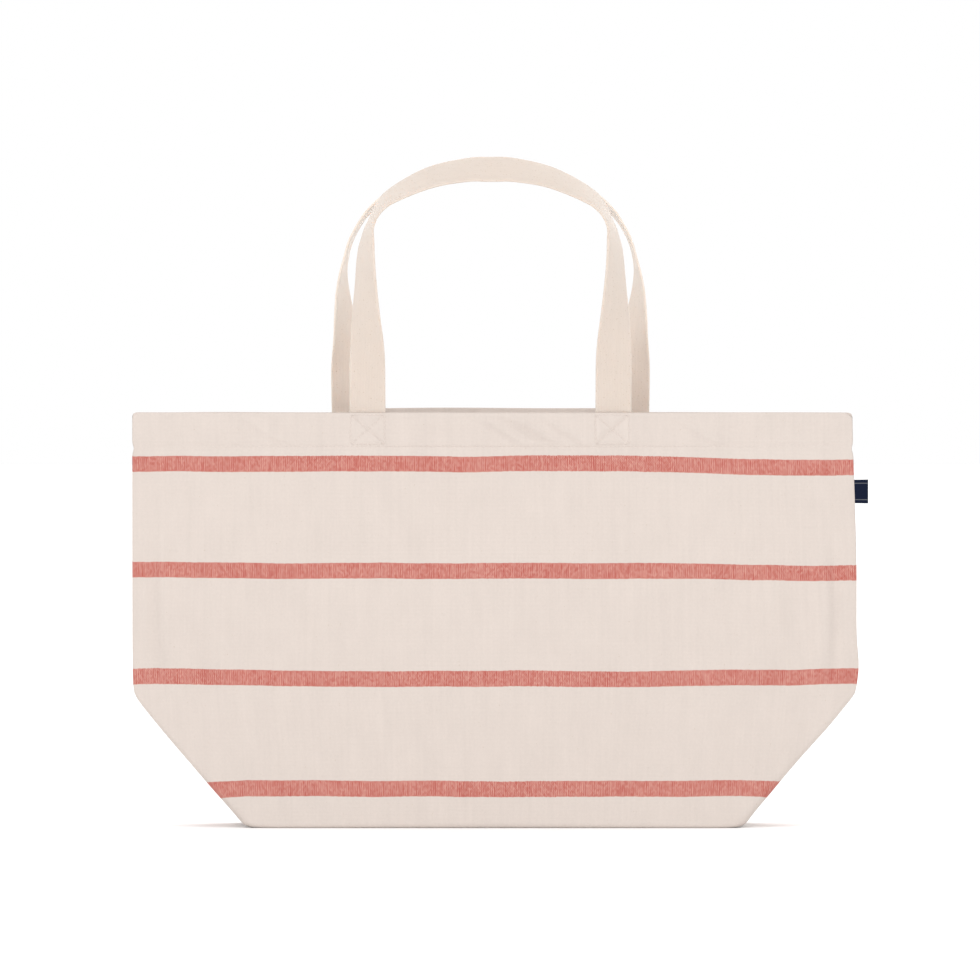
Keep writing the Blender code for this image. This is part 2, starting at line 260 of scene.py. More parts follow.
def strap_calm(side, across, up):
    """1 over a sewn-on handle, where the cloth lies still, and 0 away from it."""
    calm = 0.0
    for middle in strap_places(side):
        calm = max(calm, float(np.exp(-((across - middle) / 0.024) ** 4)) * ease((up - 0.300) / 0.02))
    return calm


def body_relief(side, across, up, seed):
    """Rolls, seam folds and drag over the whole of a panel."""
    relief = 0.0
    for height, per_across, per_up, roll_seed in ROLLS:
        relief += height * noise.noise(Vector((across * per_across, up * per_up, seed + roll_seed)))
    for sign in (-1, 1):
        for place, width, height, low, high in SEAM_FOLDS:
            wander = 0.004 * noise.noise(Vector((up * 9, sign * 3.0, seed)))
            from_fold = across - sign * (place + wander + 0.03 * (up - 0.17))
            relief += height * hump(from_fold, width) * ease((up - low) / 0.04) * ease((high - up) / 0.07)
    for middle in strap_places(side):
        spread = 0.018 + 0.25 * max(HEM_LINE - up, 0.0)
        relief += DRAG * hump(across - middle, spread) * ease((up - 0.10) / 0.2)
    if side > 0:
        between = ease((0.098 - abs(across - HANDLE_MIDDLE)) / 0.020)
        relief += BACK_FLARE * between * ease((up - RIM + FLARE_DEPTH) / FLARE_DEPTH)
    return relief


def hem_relief(side, across, up, seed):
    """The second layer of cloth in the hem, its puckers and its slanting wrinkles."""
    relief = HEM_STEP * ease((up - HEM_LINE + 0.001) / 0.020)
    relief += PUCKER * hump(up - HEM_LINE, 0.007) * noise.noise(Vector((across * 95, up * 30, seed + 2)))
    on_hem = ease((up - HEM_LINE) / 0.008) * ease((RIM - up) / 0.010)
    for place, width, height in HEM_WRINKLES:
        from_wrinkle = across * -side - place + HEM_SLANT * (up - HEM_LINE)
        relief += height * hump(from_wrinkle, width) * on_hem
    return relief


def panel_relief(side, across, up):
    """How far the cloth of a panel stands out of the plain wall, at cloth coordinates."""
    seed = 11.3 if side < 0 else 47.9
    at_seam = ease((HALF_CLOTH - abs(across)) / 0.022)
    at_foot = ease(up / 0.030)
    calm = strap_calm(side, across, up)
    relief = body_relief(side, across, up, seed) * (1 - 0.9 * calm)
    relief += hem_relief(side, across, up, seed) * (1 - calm)
    for middle in strap_places(side):
        over_strap = ease((STRAP_WIDTH / 2 + 0.001 - abs(across - middle)) / 0.003)
        relief += STRAP_STEP * over_strap * ease((up - HEM_LINE) / 0.004)
    sunk = SEAM_SINK * hump(HALF_CLOTH - abs(across), 0.0016) * at_foot
    return relief * at_seam * at_foot - groove(side, across, up) * at_seam - sunk


def groove(side, across, up):
    """Depth to which the lines of stitching pull the cloth in."""
    depth = HEM_GROOVE * hump(up - HEM_LINE, 0.0020)
    slope = BOX_HEIGHT / BOX_WIDTH
    for middle in strap_places(side):
        x = across - middle
        z = up - (RIM - HEM / 2)
        if abs(x) < BOX_WIDTH / 2 + 0.004:
            from_box = max(abs(x) - BOX_WIDTH / 2, abs(z) - BOX_HEIGHT / 2)
            from_cross = (abs(x) * slope - abs(z)) / sqrt(1 + slope ** 2)
            # The arm of the cross that leans towards the middle of the bag is pulled tighter
            tight = TIGHT_CROSS if x * z * (middle - HANDLE_MIDDLE) > 0 else LOOSE_CROSS
            tight *= ease((BOX_WIDTH / 2 + 0.001 - abs(x)) / 0.004)
            depth = max(depth, BOX_GROOVE * hump(from_box, 0.0018), tight * hump(from_cross, 0.0024))
    return depth


def rim_shift(side, across, up):
    """How much the cloth stands higher or lower than the plain wall near the rim."""
    shift = 0.0007 * noise.noise(Vector((across * 11, 3.1, side * 7.0)))
    if side > 0:
        shift += BACK_RISE * ease((0.137 - abs(across - HANDLE_MIDDLE)) / 0.045)
    corner = RIGHT_CORNER if across * side < 0 else LEFT_CORNER
    into = min(max((abs(across) - HALF_CLOTH + corner) / corner, 0.0), 1.0)
    rounded = corner * (1 - sqrt(1 - into ** 2))
    return shift * (up / RIM) ** 6 - rounded * (min(up, RIM) / RIM) ** 40


def uneven(px, z):
    """Places along X with the small differences between the left and the right side of the bag."""
    px = np.where(px > 0, px * (1 - RIGHT_LEAN * 2 / BODY_WIDTH * ease((z - 0.20) / 0.15)), px)
    pinch = HEM_PINCH * hump(z - HEM_LINE + 0.002, 0.0035)
    px = px * (1 - pinch * 2 / BODY_WIDTH)
    near_seam = (px / max(abs(px[0]), abs(px[-1]))) ** 8
    if z < CORNER_HEIGHT:
        swell = sin(pi * z / CORNER_HEIGHT) * near_seam
        px = np.where(px < 0, px - LEFT_BULGE * swell, px - RIGHT_DIP * swell)
    peak = RIGHT_PEAK * hump(z - CORNER_HEIGHT - 0.022, 0.018) * near_seam
    return np.where(px > 0, px + peak, px)


def wall_points(side, places, z, inset):
    """Points of a panel at places across it, with their outward normals, for one height and inset."""
    reach, x, y = wall_outline(z, inset)
    middle = reach[-1] / 2
    stretch = middle / HALF_CLOTH
    at = np.array([middle + p * stretch for p in places])
    px = uneven(np.interp(at, reach, x), z)
    py = np.interp(at, reach, y)
    step = 0.0006
    tx = np.interp(at + step, reach, x) - np.interp(at - step, reach, x)
    ty = np.interp(at + step, reach, y) - np.interp(at - step, reach, y)
    size = np.hypot(tx, ty)
    points = []
    for i, across in enumerate(places):
        out = Vector((ty[i] / size[i], -tx[i] / size[i], 0.0))
        relief = panel_relief(side, across, z)
        point = Vector((px[i], py[i], z + rim_shift(side, across, z))) + out * relief
        point.y = min(point.y, -GAP / 3 - abs(out.y) * CLOTH / 2)
        points.append((Vector((point.x, -side * point.y, point.z)), Vector((out.x, -side * out.y, 0.0))))
    return points


# Mesh making

def new_object(name, vertices, faces, material, cloth_map=None):
    """A smooth mesh object; cloth_map gives each vertex its place on the cloth, in metres."""
    data = bpy.data.meshes.new(name)
    data.from_pydata([tuple(v) for v in vertices], [], faces)
    data.validate()
    if cloth_map is not None:
        layer = data.uv_layers.new(name="cloth")
        corners = np.empty(len(data.loops), dtype=np.int32)
        data.loops.foreach_get("vertex_index", corners)
        layer.data.foreach_set("uv", np.asarray(cloth_map, dtype=np.float32)[corners].ravel())
    data.polygons.foreach_set("use_smooth", [True] * len(data.polygons))
    data.materials.append(material)
    piece = bpy.data.objects.new(name, data)
    bpy.context.scene.collection.objects.link(piece)
    return piece


def grid_faces(rows, columns, closed=False, flip=False):
    """Faces of a grid of vertices; a closed grid joins its last column to its first."""
    faces = []
    wrap = columns if closed else columns - 1
    for r in range(rows - 1):
        for c in range(wrap):
            d = (c + 1) % columns
            face = (r * columns + c, r * columns + d, (r + 1) * columns + d, (r + 1) * columns + c)
            faces.append(face[::-1] if flip else face)
    return faces


def thicken(piece, thickness):
    """Gives a sheet its thickness, half to each side."""
    solid = piece.modifiers.new("thickness", "SOLIDIFY")
    solid.thickness = thickness
    solid.offset = 0.0
    return piece


# Panels

def column_places(side):
    """Places across a panel: closer together where a handle is sewn on and at the seams."""
    places = [-HALF_CLOTH]
    while places[-1] < HALF_CLOTH - 0.0008:
        here = places[-1]
        near_handle = min(abs(here - m) for m in strap_places(side)) < 0.020
        step = FINE_STEP if near_handle or HALF_CLOTH - abs(here) < 0.012 else COLUMN_STEP
        places.append(here + step)
    places[-1] = HALF_CLOTH
    return places


def panel_rows():
    """Each row of a panel's cloth: height of the wall, inset, and place up the cloth."""
    middle = CLOTH / 2
    rows = []
    for step in range(3):
        inward = EDGE_RADIUS + LIP * (1 - step / 2)
        rows.append((middle, inward, -pi / 2 * EDGE_RADIUS - LIP * (1 - step / 2) + EDGE_RADIUS))
    radius = EDGE_RADIUS - middle
    for step in range(1, FOLD_STEPS):
        turn = pi / 2 * step / FOLD_STEPS
        rows.append((EDGE_RADIUS - radius * cos(turn), EDGE_RADIUS - radius * sin(turn),
                     EDGE_RADIUS * (1 - pi / 2 + turn)))
    z = EDGE_RADIUS
    while z < HEM_LINE - 0.006:
        rows.append((z, middle, z))
        z += ROW_STEP
    top = RIM - middle - 0.0011
    count = int((top - z) / FINE_STEP)
    for step in range(count + 1):
        height = z + (top - z) * step / count
        rows.append((height, middle, height))
    facing = middle + CLOTH + GAP
    fold = (facing - middle) / 2
    for step in range(1, FOLD_STEPS):
        turn = pi * step / FOLD_STEPS
        rows.append((top + fold * sin(turn) * 1.3, middle + fold * (1 - cos(turn)), top + fold * turn))
    depth = HEM + 0.002
    for step in range(FACING_ROWS + 1):
        down = depth * step / FACING_ROWS
        rows.append((top - down, facing, top + fold * pi + down))
    return rows


def make_panel(name, side, material):
    """Front or back panel: one sheet from under the base edge, up and over the rim, and down inside."""
    places = column_places(side)
    vertices = []
    cloth = []
    rows = panel_rows()
    for z, inset, up in rows:
        for (point, _), across in zip(wall_points(side, places, z, inset), places):
            vertices.append(point)
            cloth.append((across, up))
    faces = grid_faces(len(rows), len(places), flip=side > 0)
    return thicken(new_object(name, vertices, faces, material, cloth), CLOTH)


def make_base(material):
    """The base cloth, lying flat, with soft wrinkles on its upper side only."""
    half_x = BASE_LENGTH / 2 - EDGE_RADIUS - LIP - 0.0005
    half_y = BASE_DEPTH / 2 - EDGE_RADIUS - LIP - 0.0005
    rounding = 0.010
    vertices = []
    cloth = []
    for r in range(BASE_ROWS + 1):
        for c in range(BASE_COLUMNS + 1):
            x = (c / BASE_COLUMNS * 2 - 1) * half_x
            y = (r / BASE_ROWS * 2 - 1) * half_y
            past_x = max(abs(x) - half_x + rounding, 0.0)
            past_y = max(abs(y) - half_y + rounding, 0.0)
            pull = max(sqrt(past_x ** 2 + past_y ** 2) / rounding, 1.0)
            x -= (1 - 1 / pull) * past_x * (1 if x > 0 else -1)
            y -= (1 - 1 / pull) * past_y * (1 if y > 0 else -1)
            inside = ease((half_x - abs(x)) / 0.03) * ease((half_y - abs(y)) / 0.03)
            wrinkle = 0.0012 * (noise.noise(Vector((x * 9, y * 14, 5.0))) + 0.45) * inside
            vertices.append((x, y, CLOTH / 2 + 0.0001 + max(wrinkle, 0.0)))
            cloth.append((x, y))
    base = new_object("base_cloth", vertices, grid_faces(BASE_ROWS + 1, BASE_COLUMNS + 1), material, cloth)
    return thicken(base, CLOTH)


# Handles

def even_points(route, parts):
    """Points at equal distances along a route of points."""
    line = np.array([tuple(p) for p in route])
    reach = np.concatenate(((0,), np.cumsum(np.linalg.norm(np.diff(line, axis=0), axis=1))))
    at = np.linspace(0, reach[-1], parts + 1)
    return [Vector(p) for p in zip(*(np.interp(at, reach, line[:, axis]) for axis in range(3)))]


def through_points(points, steps):
    """A smooth route through points (Catmull-Rom), with even steps."""
    padded = [points[0] * 2 - points[1]] + points + [points[-1] * 2 - points[-2]]
    route = []
    for a, b, c, d in zip(padded, padded[1:], padded[2:], padded[3:]):
        for i in range(CURVE_STEPS):
            t = i / CURVE_STEPS
            route.append((b * 2 + (c - a) * t + (a * 2 - b * 5 + c * 4 - d) * t ** 2
                          + (b * 3 - a - c * 3 + d) * t ** 3) / 2)
    route.append(points[-1])
    return even_points(route, steps)


def turn_at(share, turns):
    """Turn of the webbing, in radians, at a share of the way from its foot to the top."""
    total = 0.0
    samples = 11
    for i in range(samples):
        place = abs(share + TURN_SOFTNESS * (i / (samples - 1) * 2 - 1))
        place = min(place, 2 - place)
        total += radians(float(np.interp(place, [t[0] for t in turns], [t[1] for t in turns])))
    return total / samples


def wall_depth(x, z, inset):
    """How far the front wall stands from the middle plane."""
    length, flat, depth = wall_measures(z, inset)
    across = min(abs(x) / length, 1.0)
    boxed = flat * (1 - across ** BASE_POWER) ** (1 / BASE_POWER)
    return GAP / 2 + boxed + (depth - flat) * (1 - across ** 2)


def handle_route(route):
    """Middle line of a handle on the front side, from its left foot over the top to its right foot."""
    foot_z = RIM + STRAP_CLEARANCE
    foot_depth = wall_depth(route[0][0], RIM, STRAP_INSET)
    top = route[-1][1]
    left = []
    right = []
    for out, rise in route:
        depth = foot_depth + (APEX_DEPTH - foot_depth) * ease(rise / top)
        height = foot_z + rise * (RIM + top - foot_z) / top
        left.append(Vector((HANDLE_MIDDLE - out, -depth, height)))
        right.append(Vector((HANDLE_MIDDLE + out, -depth, height)))
    return through_points(left + right[-2::-1], STRAP_STEPS)


def strap_section(points_across=15):
    """Outline of the webbing: flat, with round selvedges. Each point is (across, out), in half widths."""
    outline = []
    for face in (1, -1):
        for i in range(points_across):
            a = pi * i / (points_across - 1)
            across = -cos(a) * face
            rounding = min((1 - abs(across)) * STRAP_WIDTH / STRAP, 1.0)
            outline.append((across, face * sqrt(max(1 - (1 - rounding) ** 2, 0.0))))
    return outline[:points_across] + outline[points_across + 1:-1]


def webbing_line(route):
    """Middle line of one length of webbing: a handle's route with a sewn-in foot at each end."""
    free = handle_route(route)
    foot = Vector((0, 0, HEM - 0.003))
    line = [free[0] - foot * (1 - i / FOOT_STEPS) for i in range(FOOT_STEPS)] + free
    return line + [free[-1] - foot * ((i + 1) / FOOT_STEPS) for i in range(FOOT_STEPS)]


def webbing_turn(side, turns, share, x, length):
    """Turn of the webbing in radians: along the rim at its foot, then outwards, with a slight waver."""
    turn = turn_at(share, turns)
    along_rim = atan(MOUTH_DEPTH * abs(x) / (BODY_WIDTH / 2) ** 2)
    turn += along_rim * cos(turn)
    return turn + radians(3.0) * ease(share * 6) * noise.noise(Vector((length * 16, side * 3.0, 8.0)))


def make_handle(name, side, material):
    """One length of webbing, from inside the hem, over the top and back into the hem."""
    route, turns = HANDLES[side]
    line = webbing_line(route)
    section = strap_section()
    vertices = []
    cloth = []
    length = 0.0
    for i, point in enumerate(line):
        before = line[max(i - 1, 0)]
        after = line[min(i + 1, len(line) - 1)]
        along = (after - before).normalized()
        inside = i - FOOT_STEPS
        if inside <= 0 or inside >= STRAP_STEPS:
            along = Vector((0.0, 0.0, 1.0 if inside <= 0 else -1.0))
        front = Vector((0.0, -1.0, 0.0))
        front = (front - along * front.dot(along)).normalized()
        outwards = front.cross(along)
        share = 1 - abs(min(max(inside / STRAP_STEPS, 0.0), 1.0) * 2 - 1)
        turn = webbing_turn(side, turns, share, point.x, length)
        face = front * cos(turn) + outwards * sin(turn)
        across = along.cross(face)
        length += (point - before).length
        free_share = ease(share * 6)
        cup = 0.0007 * free_share
        sway = 0.0007 * free_share * noise.noise(Vector((length * 12, side * 5.0, 2.0)))
        centre = point + front * sway
        if share < 0.25:
            relief = panel_relief(side, point.x, min(point.z, RIM))
            centre += front * relief * (1 - ease(share * 4))
        for s_across, s_out in section:
            offset = across * s_across * STRAP_WIDTH / 2
            offset += face * (s_out * STRAP / 2 - cup * (s_across ** 2 - 0.4))
            p = centre + offset
            vertices.append((p.x, -side * p.y, p.z))
            cloth.append((s_across * STRAP_WIDTH / 2, length))
    count = len(section)
    faces = grid_faces(len(line), count, closed=True, flip=side > 0)
    first = list(range(count))
    last = [len(vertices) - count + i for i in range(count)]
    faces.append(tuple(first if side > 0 else first[::-1]))
    faces.append(tuple(last[::-1] if side > 0 else last))
    return new_object(name, vertices, faces, material, cloth)


# Stitching

class Stitches:
    """Collects single stitches, each a short bead of thread, into one mesh."""

    sides = 7
    # Rings of a bead: share of its length, size and lift in radii
    rings = ((0.0, 0.35, -0.9), (0.12, 0.8, -0.1), (0.32, 1.0, 0.45), (0.68, 1.0, 0.45),
             (0.88, 0.8, -0.1), (1.0, 0.35, -0.9))

    def __init__(self):
        self.vertices = []
        self.faces = []
        self.cloth = []

    def add(self, start, stop, out, radius=THREAD_RADIUS):
        """A stitch from start to stop, half sunk in cloth whose outward normal is out."""
        along = stop - start
        length = along.length
        along = along / length
        aside = along.cross(out).normalized()
        out = aside.cross(along)
        sides = self.sides
        base = len(self.vertices)
        for share, size, lift in self.rings:
            centre = start + along * (length * share) + out * (lift * radius)
            for k in range(sides):
                a = 2 * pi * k / sides
                self.vertices.append(centre + (aside * cos(a) + out * sin(a)) * (radius * size))
                self.cloth.append((share * length, k / sides * radius * 6))
        for r in range(len(self.rings) - 1):
            for k in range(sides):
                d = (k + 1) % sides
                a = base + r * sides
                self.faces.append((a + k, a + sides + k, a + sides + d, a + d))
        self.faces.append(tuple(base + k for k in range(sides)))
        end = base + (len(self.rings) - 1) * sides
        self.faces.append(tuple(end + k for k in reversed(range(sides))))

    def line(self, side, start, stop):
        """A row of stitches on a panel, between two places (across, up) on its cloth."""
        start = Vector(start)
        stop = Vector(stop)
        count = max(round((stop - start).length / STITCH_PITCH), 1)
        for i in range(count):
            ends = []
            for share in STITCH_ENDS:
                place = start.lerp(stop, (i + share) / count)
                ends.append(wall_points(side, [place.x], place.y, 0.0)[0])
            self.add(ends[0][0], ends[1][0], ends[0][1])

    def make(self, name, material):
        return new_object(name, self.vertices, self.faces, material, self.cloth)


def make_hem_stitches(name, side, material):
    """The stitch line that holds the hem, from seam to seam."""
    stitches = Stitches()
    reach = HALF_CLOTH - 0.004
    stitches.line(side, (-reach, HEM_LINE), (reach, HEM_LINE))
    return stitches.make(name, material)


def make_box_stitches(name, side, middle, material):
    """A box with a cross in it, on the outside of the panel."""
    stitches = Stitches()
    x = BOX_WIDTH / 2
    z = BOX_HEIGHT / 2
    centre = RIM - HEM / 2
    signs = ((-1, -1), (1, -1), (1, 1), (-1, 1))
    corners = [(middle + sx * x, centre + sz * z) for sx, sz in signs]
    lines = list(zip(corners, corners[1:] + corners[:1]))
    lines += [(corners[0], corners[2]), (corners[1], corners[3])]
    for start, stop in lines:
        stitches.line(side, start, stop)
    return stitches.make(name, material)


def make_side_seam(name, sign, material):
    """The folded allowance of a side seam, standing in from the seam inside the bag."""
    vertices = []
    cloth = []
    columns = 6
    high = HEM_LINE - 0.004
    for r in range(SEAM_ROWS + 1):
        z = SEAM_LOW + (high - SEAM_LOW) * r / SEAM_ROWS
        reach = wall_measures(z, 0.0)[0] - SEAM_INSET
        for c in range(columns + 1):
            inward = SEAM_ALLOWANCE * c / columns
            wave = 0.0010 * noise.noise(Vector((z * 28, sign * 4.0, 1.0))) * c / columns
            vertices.append((sign * (reach - inward), wave, z))
            cloth.append((inward, z))
    seam = new_object(name, vertices, grid_faces(SEAM_ROWS + 1, columns + 1), material, cloth)
    return thicken(seam, SEAM_THICKNESS)


def seam_edge(sign, share):
    """A place on the inner edge of a side seam's allowance."""
    z = 0.010 + (HEM_LINE - 0.016) * share
    return Vector((sign * (wall_measures(z, 0.0)[0] - OVERLOCK_INSET), 0.0, z))


def make_overlock(name, sign, material):
    """Overlocked edge of a side seam: a zigzag of thread over each face of its allowance."""
    stitches = Stitches()
    edge = [seam_edge(sign, i / OVERLOCK_STITCHES) for i in range(OVERLOCK_STITCHES + 1)]
    onto_seam = Vector((sign * OVERLOCK_WIDTH, 0, 0))
    for a, b in zip(edge, edge[1:]):
        for face in (1, -1):
            out = Vector((0, face, 0))
            lift = out * 0.0010
            stitches.add(a + lift, b + lift + onto_seam, out, OVERLOCK_RADIUS)
            stitches.add(b + lift + onto_seam, b + lift, out, OVERLOCK_RADIUS)
    return stitches.make(name, material)


def make_base_seam(name, material):
    """The seam allowance around the base, lying inside the foot of the wall."""
    vertices = []
    cloth = []
    half_x = BASE_LENGTH / 2 - BASE_SEAM_INSET
    half_y = BASE_DEPTH / 2 - BASE_SEAM_INSET
    outline = rounded_outline(half_x, half_y, corner=0.014, step=0.004)
    columns = 5
    for x, y, out, reach in outline:
        for c in range(columns):
            inward = BASE_SEAM_ALLOWANCE * c / (columns - 1)
            lift = 0.0016 * (0.5 + noise.noise(Vector((reach * 22, 9.0, 0.0)))) * c / (columns - 1)
            vertices.append((x - out.x * inward, y - out.y * inward, BASE_SEAM_LEVEL + max(lift, 0.0)))
            cloth.append((reach, inward))
    rows = len(outline)
    faces = grid_faces(rows, columns)
    for c in range(columns - 1):
        a = (rows - 1) * columns + c
        faces.append((a, a + 1, c + 1, c))
    return thicken(new_object(name, vertices, faces, material, cloth), CLOTH)


def rounded_outline(half_x, half_y, corner, step):
    """Points around a rounded rectangle: x, y, outward direction and distance run."""
    points = []
    reach = 0.0
    quarters = ((1, -1, -90), (1, 1, 0), (-1, 1, 90), (-1, -1, 180))
    for k, (sx, sy, start) in enumerate(quarters):
        centre = Vector((sx * (half_x - corner), sy * (half_y - corner)))
        for i in range(7):
            a = radians(start + 90 * i / 6)
            out = Vector((cos(a), sin(a)))
            points.append((centre + out * corner, out))
        nx, ny, next_start = quarters[(k + 1) % 4]
        a = radians(next_start)
        stop = Vector((nx * (half_x - corner), ny * (half_y - corner))) + Vector((cos(a), sin(a))) * corner
        here = points[-1][0]
        count = int((stop - here).length / step)
        for i in range(1, count):
            points.append((here.lerp(stop, i / count), out))
    result = []
    last = points[0][0]
    for place, out in points:
        reach += (place - last).length
        result.append((place.x, place.y, out, reach))
        last = place
    return result


# Label

def make_label(name, material):
    """A woven tab folded in half: one ribbon out of the seam and back into it."""
    low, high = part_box("side_label")
    root = low.x - TAB_ROOT
    tip = high.x - 0.0006
    straight = tip - TAB_GAP - root
    columns = 12
    rows = 20
    turns = 6
    ribbon = [(root + straight * i / columns, -TAB_GAP) for i in range(columns + 1)]
    for i in range(1, turns):
        a = pi * i / turns
        ribbon.append((tip - TAB_GAP + TAB_GAP * sin(a), -TAB_GAP * cos(a)))
    ribbon += [(root + straight * i / columns, TAB_GAP) for i in range(columns, -1, -1)]
    vertices = []
    cloth = []
    reach = 0.0
    for i, (x, y) in enumerate(ribbon):
        if i:
            reach += sqrt((x - ribbon[i - 1][0]) ** 2 + (y - ribbon[i - 1][1]) ** 2)
        out = (x - root) / (tip - root)
        for r in range(rows + 1):
            up = r / rows
            z = low.z + (high.z - low.z) * up
            sway = 0.0006 * sin(pi * up) * out
            flare = 0.0004 * out * (1 if y > 0 else -1)
            vertices.append((x, y + sway + flare, z + 0.0003 * (up - 0.5) * out))
            cloth.append((reach, z - low.z))
    label = new_object(name, vertices, grid_faces(len(ribbon), rows + 1), material, cloth)
    return thicken(label, TAB_THICKNESS)


# Materials

class Nodes:
    """Short forms for building a node tree."""

    def __init__(self, name):
        self.material = bpy.data.materials.new(name)
        self.material.use_nodes = True
        self.tree = self.material.node_tree
        self.shader = self.tree.nodes["Principled BSDF"]

    def node(self, kind, **settings):
        """A new node with some of its settings."""
        node = self.tree.nodes.new(kind)
        for key, value in settings.items():
            setattr(node, key, value)
        return node

    def join(self, source, socket):
        """Links an output to a socket, or sets the socket to a value."""
        if hasattr(source, "is_output"):
            self.tree.links.new(source, socket)
        else:
            socket.default_value = source

    def math(self, operation, *values, clamp=False):
        node = self.node("ShaderNodeMath", operation=operation, use_clamp=clamp)
        for value, socket in zip(values, node.inputs):
            self.join(value, socket)
        return node.outputs[0]

    def plus(self, value, other, amount):
        """value + other * amount"""
        return self.math("ADD", value, self.math("MULTIPLY", other, amount))

    def vary(self, value, change, amount):
        """A value moved up or down by a change that runs from 0 to 1."""
        return self.plus(value, self.math("SUBTRACT", change, 0.5), amount)

    def wave(self, value, pitch=1.0):
        """A sine wave along a value."""
        return self.math("SINE", self.math("MULTIPLY", self.math("DIVIDE", value, pitch), 2 * pi))

    def mix(self, share, a, b):
        node = self.node("ShaderNodeMix", data_type="RGBA")
        self.join(share, node.inputs["Factor"])
        for value, socket in ((a, node.inputs[6]), (b, node.inputs[7])):
            self.join(value if hasattr(value, "is_output") else (*value, 1.0), socket)
        return node.outputs[2]

    def scaled(self, colour, amount):
        """A colour multiplied by a number."""
        node = self.node("ShaderNodeVectorMath", operation="SCALE")
        self.join(colour, node.inputs[0])
        self.join(amount, node.inputs["Scale"])
        return node.outputs[0]

    def between(self, value, low, high, to_low=0.0, to_high=1.0):
        """A soft step from to_low, at low and below, to to_high, at high and above."""
        node = self.node("ShaderNodeMapRange", interpolation_type="SMOOTHSTEP")
        for number, socket in zip((value, low, high, to_low, to_high), node.inputs):
            self.join(number, socket)
        return node.outputs[0]

    def cloth_map(self):
        """Places across and up the cloth, in metres."""
        uv = self.node("ShaderNodeUVMap", uv_map="cloth")
        split = self.node("ShaderNodeSeparateXYZ")
        self.tree.links.new(uv.outputs[0], split.inputs[0])
        return split.outputs[0], split.outputs[1]

    def noise(self, x, y, per_x, per_y, seed=0.0, detail=2.0):
        """Soft noise from 0 to 1, with so many lumps to a metre along x and y."""
        x = self.math("MULTIPLY", x, per_x)
        y = self.math("MULTIPLY", y, per_y)
        point = self.node("ShaderNodeCombineXYZ")
        for value, socket in zip((x, y, seed), point.inputs):
            self.join(value, socket)
        node = self.node("ShaderNodeTexNoise")
        self.tree.links.new(point.outputs[0], node.inputs["Vector"])
        node.inputs["Scale"].default_value = 1.0
        node.inputs["Detail"].default_value = detail
        return node.outputs["Fac"]

    def random(self, x, y=0.0):
        """A random number from 0 to 1 for each whole pair of numbers."""
        point = self.node("ShaderNodeCombineXYZ")
        for value, socket in zip((x, y), point.inputs):
            self.join(value, socket)
        node = self.node("ShaderNodeTexWhiteNoise", noise_dimensions="2D")
        self.tree.links.new(point.outputs[0], node.inputs["Vector"])
        return node.outputs["Value"]

    def bump(self, height, distance, strength):
        node = self.node("ShaderNodeBump")
        node.inputs["Strength"].default_value = strength
        node.inputs["Distance"].default_value = distance
        self.join(height, node.inputs["Height"])
        self.tree.links.new(node.outputs[0], self.shader.inputs["Normal"])

    def glow_through(self, share, depth):
        """Lets light pass through thin cloth."""
        self.shader.inputs["Subsurface Weight"].default_value = share
        self.shader.inputs["Subsurface Radius"].default_value = (1.0, 0.95, 0.9)
        self.shader.inputs["Subsurface Scale"].default_value = depth

    def finish(self, colour, roughness, sheen=0.0, specular=0.25):
        """Joins the colour and roughness to the shader, and gives the material."""
        self.join(colour, self.shader.inputs["Base Color"])
        self.join(roughness, self.shader.inputs["Roughness"])
        self.shader.inputs["Sheen Weight"].default_value = sheen
        self.shader.inputs["Specular IOR Level"].default_value = specular
        return self.material


def plain_weave(n, across, up):
    """How far the warp lies over the weft (-1 to 1), and the number of the warp and weft thread."""
    warp = n.vary(n.math("DIVIDE", across, WARP_PITCH), n.noise(across, up, 220.0, 38.0), 0.5)
    weft = n.vary(n.math("DIVIDE", up, WEFT_PITCH), n.noise(across, up, 34.0, 240.0, 7.0), 0.5)
    over = n.math("MULTIPLY", n.math("SINE", n.math("MULTIPLY", warp, pi)),
                  n.math("SINE", n.math("MULTIPLY", weft, pi)))
    return over, n.math("FLOOR", warp), n.math("FLOOR", weft)


def stripe_share(n, across, up, warp_thread):
    """1 inside a woven stripe and 0 outside, with each edge stepping from thread to thread."""
    level = n.vary(up, n.noise(across, up, 9.0, 5.0, 3.0), 0.0048)
    # The stripes sink a little towards the upper right
    sink = n.math("MULTIPLY", n.between(across, 0.05, 0.30), n.between(up, 0.10, 0.30))
    level = n.plus(level, sink, 0.0042)
    # Beside the seams the low stripes rise on one side and drop on the other
    rise = n.math("MULTIPLY", n.between(across, 0.245, 0.280), n.between(up, 0.14, 0.19, 1.0, 0.0))
    level = n.plus(level, rise, -0.0016)
    drop = n.math("MULTIPLY", n.between(across, -0.240, -0.205, 1.0, 0.0),
                  n.between(up, 0.05, 0.09, 1.0, 0.0))
    level = n.plus(level, drop, 0.0018)
    level = n.vary(level, n.random(warp_thread, 3.0), 0.0004)
    inside = 0.0
    for middle in STRIPES:
        away = n.math("ABSOLUTE", n.math("SUBTRACT", level, middle))
        band = n.between(away, STRIPE_WIDTH / 2 - 0.0003, STRIPE_WIDTH / 2 + 0.0003, 1.0, 0.0)
        inside = n.math("ADD", inside, band)
    return inside


